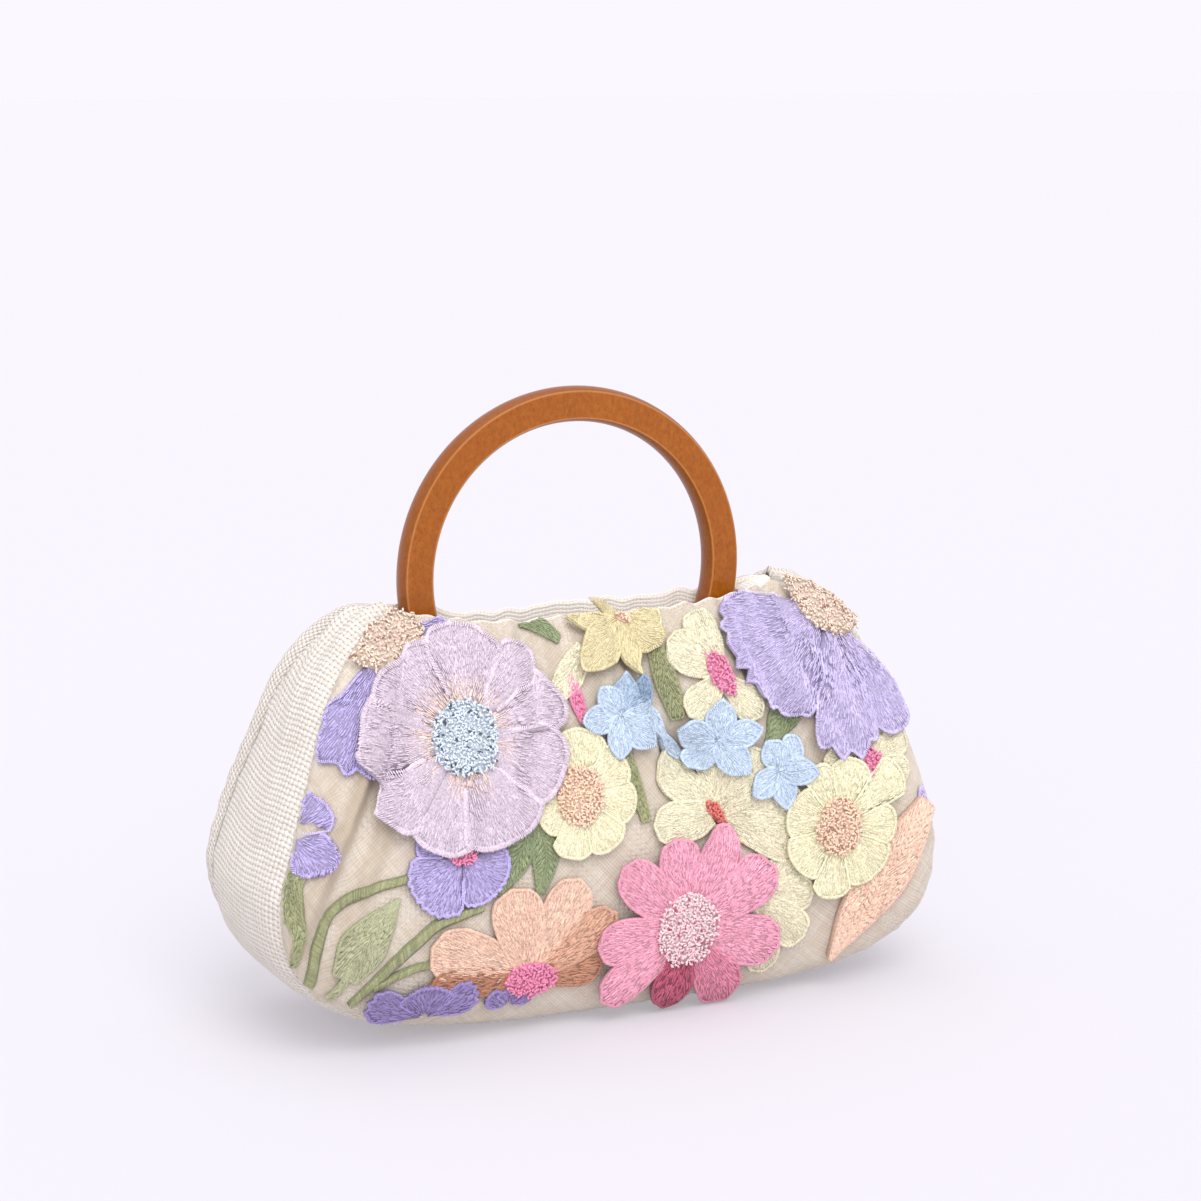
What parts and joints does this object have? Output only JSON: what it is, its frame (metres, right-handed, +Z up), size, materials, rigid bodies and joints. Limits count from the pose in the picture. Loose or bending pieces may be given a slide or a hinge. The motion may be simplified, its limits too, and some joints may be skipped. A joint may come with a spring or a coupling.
{
  "type": "wooden handle bag",
  "caption": "Small padded linen handbag, wider at its base, with a sheer tulle layer and embroidered flowers on its front and a round wooden ring handle standing in its mouth.",
  "frame": {"origin": "on the surface the bag rests on, under the middle of the whole bag", "axes": "+Z up, the front with its tulle and flowers faces -Y, +X to the right seen from the front"},
  "size_m": [0.2282, 0.0852, 0.1935],
  "materials": {
    "linen": "coarse plain-weave linen, matte, padded",
    "tulle": "sheer net",
    "wood": "caramel brown, satin lacquer",
    "cloth": "plain lining cloth",
    "purple": "satin-stitch embroidery",
    "lilac": "pale lilac petals with satin-stitched rims",
    "light_blue": "satin-stitch embroidery",
    "yellow": "satin-stitch embroidery",
    "cream": "satin-stitch embroidery",
    "peach": "satin-stitch embroidery",
    "peach_knots": "small knotted dots",
    "pink": "satin-stitch embroidery",
    "pale_pink": "small knotted dots",
    "hot_pink": "satin-stitch embroidery",
    "green": "satin-stitch embroidery",
    "dark_green": "satin-stitch embroidery",
    "ivory": "small knotted dots"
  },
  "bodies": {
    "root": {"front_panel": "linen", "back_panel": "linen", "gusset": "linen", "tulle_overlay": "tulle", "left_purple_flower": "purple", "seam_lavender_flower": "purple", "pansy": "purple", "left_yellow_flower": "yellow", "peach_flower": "peach", "blue_buds": "light_blue", "cream_fan": "cream", "cream_edge_flower": "cream", "lilac_flower": "lilac", "pink_flower": "pink", "blue_flower_left": "light_blue", "blue_flower_middle": "light_blue", "blue_flower_right": "light_blue", "narcissus": "cream", "right_yellow_flower": "yellow", "top_purple_flower": "purple", "lower_purple_flower": "purple", "lower_purple_petals": "purple", "left_purple_centre": "ivory", "pansy_centre": "hot_pink", "left_yellow_centre": "peach_knots", "peach_centre": "hot_pink", "lilac_centre": "light_blue", "pink_centre": "pale_pink", "narcissus_centre": "peach_knots", "right_yellow_centre": "peach_knots", "top_purple_centre": "ivory", "seam_leaf": "green", "bud_stem": "green", "green_bud": "green", "long_stem": "green", "short_branch": "green", "dark_leaf": "dark_green", "upper_leaf": "green", "right_leaf": "dark_green", "middle_leaf": "green", "mouth_leaf": "dark_green", "cream_petal_right": "cream", "cream_petal_left": "cream", "cream_petal_low": "cream", "peach_petal": "peach", "pink_bud_upper": "hot_pink", "pink_bud_left": "hot_pink", "lavender_bud": "purple", "wooden_handle": "wood", "handle_loop_left": "cloth", "handle_loop_right": "cloth"}
  },
  "joints": []
}
